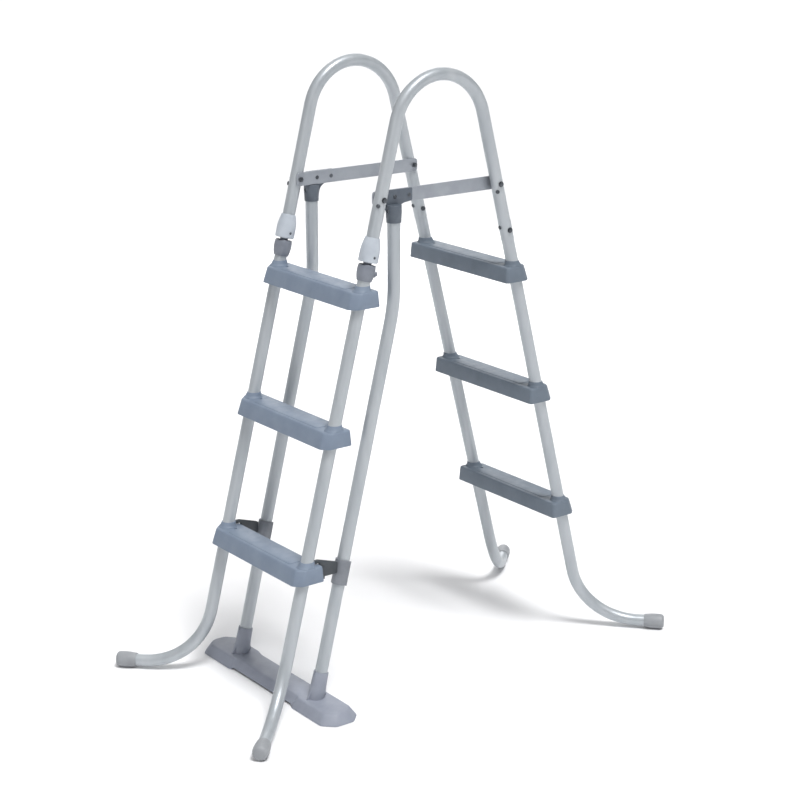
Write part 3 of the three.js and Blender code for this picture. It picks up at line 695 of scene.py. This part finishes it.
def collar(half, side, top):
    """The flare from a step's level top face up to the leaning leg."""
    rings = []
    for above, radius in COLLAR:
        centre = on_leg(half, side, top + above * MM)
        ring = []
        for i in range(40):
            angle = 2 * math.pi * i / 40
            y = centre.y + radius * MM * math.sin(angle)
            y = side * min(side * y, COLLAR_END * MM)
            ring.append(Vector((centre.x + radius * MM * math.cos(angle) / math.cos(LEAN), y, centre.z)))
        rings.append(ring)
    return loft(rings)


def sleeve_under(half, side, top):
    return turned(in_mm(SLEEVE), on_leg(half, side, top), up_leg(half), ring=True)


def step(half_word, level):
    half, top = HALVES[half_word], step_top(half_word, level)
    x = leg_x(half, top)
    height, wall = STEP["height"], STEP["wall"]
    inside = ((wall + 1, wall), (height, wall))
    outside = ((height, 0.8), (height - 0.3, 0.25), (height - 1.2, 0), (4.4, 0), (3.0, 0.3), (1.9, 1.0),
               (1.2, 1.9), (TREAD["rise"], 3.2))
    body = loft([step_ring(half, top, below, shrink) for below, shrink in inside + outside])
    tread = loft([tread_ring(half, top, below, shrink) for below, shrink in TREAD_RINGS])
    extras, pockets = [tread], []
    for side in SIDES.values():
        extras += [collar(half, side, top), sleeve_under(half, side, top)]
        at = Vector((x + POCKET["x"] * MM, side * (LEG_Y - POCKET["from_leg"] * MM), top))
        floor_at, above = at - Vector((0, 0, POCKET["depth"] * MM)), at + Vector((0, 0, 5 * MM))
        pockets.append(rod(floor_at, above, POCKET["radius"] * MM, 0))
    # The inner steps take the darker copy, which is painted shade.
    material = step_plastic if half == OUTER else inner_step_painted_shade
    piece(f"{half_word}_step_{level}", material, [body], pockets, extras)


# ---------------------------------------------------------------- base plate

BASE = {"depth": 98, "length": 536, "height": 23, "wall": 3, "inset": 12}   # millimetres, as PAD
PAD = {"length": 140, "lift": 4, "waist": 6, "jog": 8}   # the middle is lifted, and narrower each side
BASE_SOCKET = {"foot": 5 * MM, "top": 81 * MM, "floor": 7 * MM, "bore": TUBE_RADIUS + 0.3 * MM,
               "wide": 18.6 * MM, "neck": 17.4 * MM, "rim": 16.6 * MM}
NOTCH = {"half_length": 30 * MM, "half_width": 1.7 * MM, "height": 14 * MM, "at": 79 * MM, "down": 6 * MM}
FIN = {"low": 21 * MM, "crest": 68 * MM, "half_thickness": 2.2 * MM, "edge": 0.8 * MM}


def base_ring(x, z, pull_in, corner, lift=0.0):
    """The dog-bone outline of the base plate, `pull_in` millimetres inside its widest one."""
    a, b = BASE["depth"] / 2 - pull_in, BASE["length"] / 2 - pull_in
    inner_a = a - PAD["waist"]
    jog_from = BASE["length"] / 2 - PAD["length"] + pull_in * 0.4
    jog_to = jog_from - PAD["jog"]
    quarter = [(a, jog_from), (a, b - corner), (a - corner, b)]
    outline = [(inner_a, -jog_to), (inner_a, jog_to)] + quarter
    outline += [(-u, v) for u, v in reversed(quarter)] + [(-inner_a, jog_to), (-inner_a, -jog_to)]
    outline += [(-u, -v) for u, v in quarter] + [(u, -v) for u, v in reversed(quarter)]
    points = rounded(outline, 7, 3, True)
    ring = []
    for p in points:
        raised = lift if abs(p.y) < jog_from - PAD["jog"] / 2 else 0
        ring.append(Vector((x + p.x * MM, p.y * MM, z + raised * MM)))
    return ring


def base_socket(side):
    """The socket of a support leg, with a notch along X through its rim."""
    foot, top, floor_at = BASE_SOCKET["foot"], BASE_SOCKET["top"], BASE_SOCKET["floor"]
    wide, neck, rim, bore = (BASE_SOCKET[key] for key in ("wide", "neck", "rim", "bore"))
    centre = 0.3 * MM
    boss_foot = on_support(side, foot)
    tall = (on_support(side, top) - boss_foot).length
    profile = [(bore, floor_at), (centre, floor_at), (centre, 0), (wide, 0), (wide, tall * 0.45),
               (neck, tall * 0.62), (rim, tall), (bore, tall)]
    socket = loose("socket", turned(profile, boss_foot, UP_SUPPORT, 1.2 * MM, ring=True))
    a, b = NOTCH["half_length"], NOTCH["half_width"]
    place = turn_to(UP_SUPPORT, on_support(side, NOTCH["at"])) @ Matrix.Translation((0, 0, -NOTCH["down"]))
    notch = plate([(-a, -b), (a, -b), (a, b), (-a, b)], NOTCH["height"], 0.1 * MM, place)
    cut(socket, [loose("cutter", notch)])
    mesh = socket.data
    shell = [v.co.copy() for v in mesh.vertices], [list(p.vertices) for p in mesh.polygons]
    bpy.data.objects.remove(socket)
    return shell


def base_fin(side, facing):
    """A web on the socket's outer (-1) or inner (+1) face, hollowed towards its foot."""
    foot, crest = on_support(side, FIN["low"]), on_support(side, FIN["crest"])
    outline = [(foot.x + facing * 12 * MM, foot.z), (foot.x + facing * 26 * MM, foot.z)]
    for t in (0.0, 0.15, 0.3, 0.5, 0.75, 1.0):
        z = foot.z + 2 * MM + (crest.z - foot.z - 2 * MM) * t
        reach = 17 + 9 * (1 - t) ** 2.2
        outline.append((on_support(side, z).x + facing * reach * MM, z))
    outline.append((crest.x + facing * 12 * MM, crest.z))
    y = side * (support_top.y - FIN["half_thickness"])
    return plate(outline, 2 * FIN["half_thickness"], FIN["edge"], upright(side, y))


def base_plate():
    node = "base_plate"
    x = box_centre(node).x
    wall, pull_in, height, lift = BASE["wall"], BASE["inset"], BASE["height"], PAD["lift"]
    rings = [base_ring(x, (height - wall) * MM, pull_in + wall + 2, 17)]
    for z, inside, corner in ((0, wall, 24), (0, 0.8, 26), (0.5, 0.1, 26), (1.5, 0.3, 26)):
        rings.append(base_ring(x, z * MM, inside, corner, lift))
    for z, inside in ((17, pull_in - 0.8), (18.5, pull_in), (20.5, pull_in + 1.2), (22.2, pull_in + 3),
                      (height, pull_in + 5.5)):
        rings.append(base_ring(x, z * MM, inside, 20))
    extras = []
    for side in SIDES.values():
        extras += [base_socket(side), base_fin(side, OUTER), base_fin(side, INNER)]
    piece(node, base_plastic, [loft(rings)], (), extras)


# ---------------------------------------------------------------- couplings

# Profiles here are (radius, height above the bell's mouth) in millimetres.

BELL = ((18.6, 0), (20.6, 0), (21.6, 3), (21.6, 22), (20.4, 34), (17.4, 47), (15.9, 53.4), (14.3, 53.4),
        (14.3, 31), (18.6, 29))
BARREL = ((0.3, -14), (14.3, -14), (14.3, -41), (16.2, -41), (18.6, -32), (19.8, -23), (19.8, -14),
          (18.6, -4.5), (9, -4.5), (9, 12), (7.8, 16.5), (4.5, 20), (0.3, 21))
SWING_PIN = {"radius": 3 * MM, "hole": 3.3 * MM, "half_length": 20.8 * MM}
RELIEF = {"near": 9.6, "far": 30, "drop": 1.4}   # the barrel's top slopes down, to clear the bell
BUTTON = {"height": -26 * MM, "seat": 18.9, "pocket_floor": 15.5, "pocket": 5.3 * MM}
BUTTON_PROFILE = ((0.2, 0), (4.9, 0), (4.9, 5), (4.0, 6.3), (2.0, 6.7), (0.2, 6.7))   # from its seat
BOSS_FROM = 8                                    # the boss's profile starts here, out from the axis
BOSS = ((5.3, 8), (7.6, 8), (7.6, 13.8), (5.3, 13.8))


def across_coupling(side, radius, half_length, easing):
    """A rod along Y through the coupling, on the swing's axis."""
    reach = Vector((0, half_length, 0))
    return rod(swing_axis(side) - reach, swing_axis(side) + reach, radius, easing)


def coupling_socket(word, side):
    bell = turned(in_mm(BELL), mouth(side), up_leg(OUTER), 3.5 * MM, ring=True, segments=56)
    hole = across_coupling(side, SWING_PIN["hole"], 30 * MM, 0)
    piece(f"coupling_socket_{word}", bell_plastic, [bell], [hole])


def swing_pin(word, side):
    pin = across_coupling(side, SWING_PIN["radius"], SWING_PIN["half_length"], 1 * MM)
    piece(f"swing_pin_{word}", steel, [pin])


def button_direction(side):
    return Vector((0.8, 0.6 * side, 0))


def button_point(side, reach):
    return mouth(side) + up_leg(OUTER) * BUTTON["height"] + button_direction(side) * reach * MM


def coupling_plug(word, side):
    """The barrel that hangs in the bell. Its slope, pin hole and button's pocket are cut out."""
    up = up_leg(OUTER)
    body = turned(in_mm(BARREL), mouth(side), up, 1.6 * MM, segments=56)
    slope = math.tan(SWING_LIMIT)
    near, far, drop = RELIEF["near"], RELIEF["far"], RELIEF["drop"]
    outline = [(-far, -drop - far * slope), (-near, -drop - near * slope), (-near, 20), (-far, 20)]
    across = Matrix(((1, 0, 0, 0), (0, 0, 1, -far * MM), (0, 1, 0, 0), (0, 0, 0, 1)))
    wedge = plate(in_mm(outline), 2 * far * MM, 0.02 * MM, turn_to(up, mouth(side)) @ across)
    hole = across_coupling(side, SWING_PIN["hole"], 30 * MM, 0)
    pocket = rod(button_point(side, BUTTON["pocket_floor"]), button_point(side, 40), BUTTON["pocket"], 0)
    boss = turned(in_mm(BOSS), button_point(side, BOSS_FROM), button_direction(side), 0.8 * MM, ring=True)
    piece(f"coupling_plug_{word}", plug_plastic, [body], [wedge, hole, pocket], [boss])


def latch_button(word, side):
    button = turned(in_mm(BUTTON_PROFILE), button_point(side, BUTTON["seat"]), button_direction(side),
                    0.8 * MM)
    piece(f"latch_button_{word}", plug_plastic, [button])


# ---------------------------------------------------------------- clips

CLIP = {"height": 305 * MM, "length": 56 * MM, "wall": 3 * MM, "bore": 14.6 * MM, "lip": 9 * MM,
        "edge": 0.9 * MM}
ARM = {"thickness": 7 * MM, "edge": 1.1 * MM, "corner": 3 * MM, "foot": 33}
CLIP_PAD = {"top": 6, "foot": 33, "near": 1, "far": 5, "half_width": 14}   # millimetres, behind the step


def leg_clip(word, side):
    """A U round the support leg, an arm to the step's rear face, and a pad there."""
    bore, outer, lip, length = CLIP["bore"], CLIP["bore"] + CLIP["wall"], CLIP["lip"], CLIP["length"]
    arc = [math.pi / 2 + math.pi * i / 24 for i in range(25)]
    outside = [(outer * math.cos(a), outer * math.sin(a)) for a in arc]
    inside = [(bore * math.cos(a), bore * math.sin(a)) for a in reversed(arc)]
    section = [(lip, outer), *outside, (lip, -outer), (lip, -bore), *inside, (lip, bore)]
    z = CLIP["height"]
    centre = on_support(side, z)
    sleeve = plate(section, length, CLIP["edge"], turn_to(UP_SUPPORT, centre - UP_SUPPORT * length / 2))

    top = step_top("outer", "bottom")
    x, foot = leg_x(OUTER, top), ARM["foot"]
    outline = [
        (x + (reach_at(REAR, foot) + 1) * MM, top - foot * MM), (centre.x - bore - 1 * MM, z + 2 * MM),
        (centre.x - bore + 0.2 * MM, z + 28 * MM), (x + 30 * MM, top + 9 * MM), (x + 17.5 * MM, top + 8 * MM),
        (x + 21.5 * MM, top + 1 * MM), (x + (reach_at(REAR, 0) + 1.5) * MM, top + 1 * MM),
    ]
    arm = plate(rounded(outline, ARM["corner"], 3, True), ARM["thickness"], ARM["edge"],
                upright(side, side * (LEG_Y - ARM["thickness"] / 2)))

    near, far, w = CLIP_PAD["near"], CLIP_PAD["far"], CLIP_PAD["half_width"]
    rings = []
    for below in (CLIP_PAD["top"], CLIP_PAD["foot"]):
        rear = reach_at(REAR, below)
        corners = ((rear + near, -w), (rear + far, -w), (rear + far, w), (rear + near, w))
        rings.append([Vector((x + u * MM, side * LEG_Y + v * MM, top - below * MM)) for u, v in corners])
    # The arm and pad take the painted-shade copy, and the sleeve takes the clip's own tone.
    piece(f"leg_clip_{word}", clip_plastic, [arm, loft(rings)], (), [sleeve], sleeve_plastic)


# ---------------------------------------------------------------- the ladder

for word, side in SIDES.items():
    handrail(word, side)
    top_bar(word, side)
    bar_bracket(word, side)
    support_leg(word, side)
    support_pin(word, side)
    inner_leg(word, side)
    outer_leg(word, side)
    coupling_socket(word, side)
    swing_pin(word, side)
    coupling_plug(word, side)
    latch_button(word, side)
    leg_clip(word, side)
    for number in (1, 2):
        rivet(f"bracket_rivet_{number}_{word}", side)
    for half_word, half in HALVES.items():
        foot_cap(half_word, word)
        cross_bolt(f"bar_bolt_{half_word}_{word}", side)
        hex_nut(f"bar_nut_{half_word}_{word}", side)
        wall_screw(f"bar_screw_{half_word}_{word}", half, side, Vector((-1, side, 0)))
    cross_bolt(f"splice_bolt_{word}", side)
    hex_nut(f"splice_nut_{word}", side)
    wall_screw(f"splice_screw_{word}", INNER, side, Vector((-1, 0, 0)))

for half_word in HALVES:
    for level in LEVELS:
        step(half_word, level)

base_plate()

# ---------------------------------------------------------------- floor, light and camera

FLOOR = {"half_width": 40, "drop": 0.5 * MM}
CAMERA_PLACE = (-2.54696, -3.42177, 1.88676)
CAMERA_TURN = {"azimuth": -36.7829, "elevation": 16.6306, "roll": -0.0829}   # degrees
CAMERA_LENS, CAMERA_SENSOR = 87.394, 36
HORIZON = (0.9, 0.9, 0.92, 1)
LOW_SKY = (0.1, 0.103, 0.112, 1)
ZENITH = (0.62, 0.62, 0.62, 1)


def floor():
    a = FLOOR["half_width"]
    obj = loose("floor", ([(-a, -a, 0), (a, -a, 0), (a, a, 0), (-a, a, 0)], [[0, 1, 2, 3]]))
    obj.location.z = -FLOOR["drop"]
    pale = finish_material("floor_pale", (246, 246, 247), (243, 243, 244), 1.5, (0.85, 0.95), (40, 0.05 * MM))
    obj.data.materials.append(pale)


def area_light(name, place, aim, size, power):
    data = bpy.data.lights.new(name, "AREA")
    data.size, data.energy = size, power
    obj = bpy.data.objects.new(name, data)
    obj.location = place
    obj.rotation_euler = (Vector(aim) - Vector(place)).to_track_quat("-Z", "Y").to_euler()
    bpy.context.scene.collection.objects.link(obj)


def camera():
    azimuth, elevation, roll = (math.radians(CAMERA_TURN[key]) for key in ("azimuth", "elevation", "roll"))
    right = Vector((math.cos(azimuth), math.sin(azimuth), 0))
    back = Vector((math.sin(azimuth) * math.cos(elevation), -math.cos(azimuth) * math.cos(elevation),
                   math.sin(elevation)))
    up = back.cross(right)
    c, s = math.cos(roll), math.sin(roll)
    data = bpy.data.cameras.new("camera")
    data.sensor_width, data.lens = CAMERA_SENSOR, CAMERA_LENS
    data.clip_end = 200
    obj = bpy.data.objects.new("camera", data)
    axes = Matrix((right * c + up * s, up * c - right * s, back)).transposed()
    obj.matrix_world = Matrix.Translation(CAMERA_PLACE) @ axes.to_4x4()
    bpy.context.scene.collection.objects.link(obj)
    bpy.context.scene.camera = obj


def sky():
    """A soft dome: bright overhead, dim lower down, and pale in a thin band at the horizon."""
    world = bpy.data.worlds.new("studio")
    world.use_nodes = True
    nodes, links = world.node_tree.nodes, world.node_tree.links
    place = nodes.new("ShaderNodeTexCoord")
    split = nodes.new("ShaderNodeSeparateXYZ")
    ramp = nodes.new("ShaderNodeValToRGB")
    horizon, zenith = ramp.color_ramp.elements
    horizon.position, horizon.color = 0.0, HORIZON
    zenith.position, zenith.color = 0.9, ZENITH
    ramp.color_ramp.elements.new(0.15).color = LOW_SKY
    links.new(place.outputs["Generated"], split.inputs["Vector"])
    links.new(split.outputs["Z"], ramp.inputs["Fac"])
    links.new(ramp.outputs["Color"], nodes["Background"].inputs["Color"])
    bpy.context.scene.world = world


def sun(direction, strength, softness):
    data = bpy.data.lights.new("sun", "SUN")
    data.energy, data.angle = strength, math.radians(softness)
    obj = bpy.data.objects.new("sun", data)
    obj.rotation_euler = Vector(direction).to_track_quat("-Z", "Y").to_euler()
    bpy.context.scene.collection.objects.link(obj)


floor()
sky()
sun((0.03, 0.4, -0.92), 2.5, 20)
area_light("front", (-2.9, -1.8, 1.9), (-0.2, 0, 0.7), 1.4, 6)
area_light("back", (2.6, 3.6, 2.1), (0, 0, 0.7), 3.0, 60)
camera()
bpy.context.scene.view_settings.view_transform = "Standard"
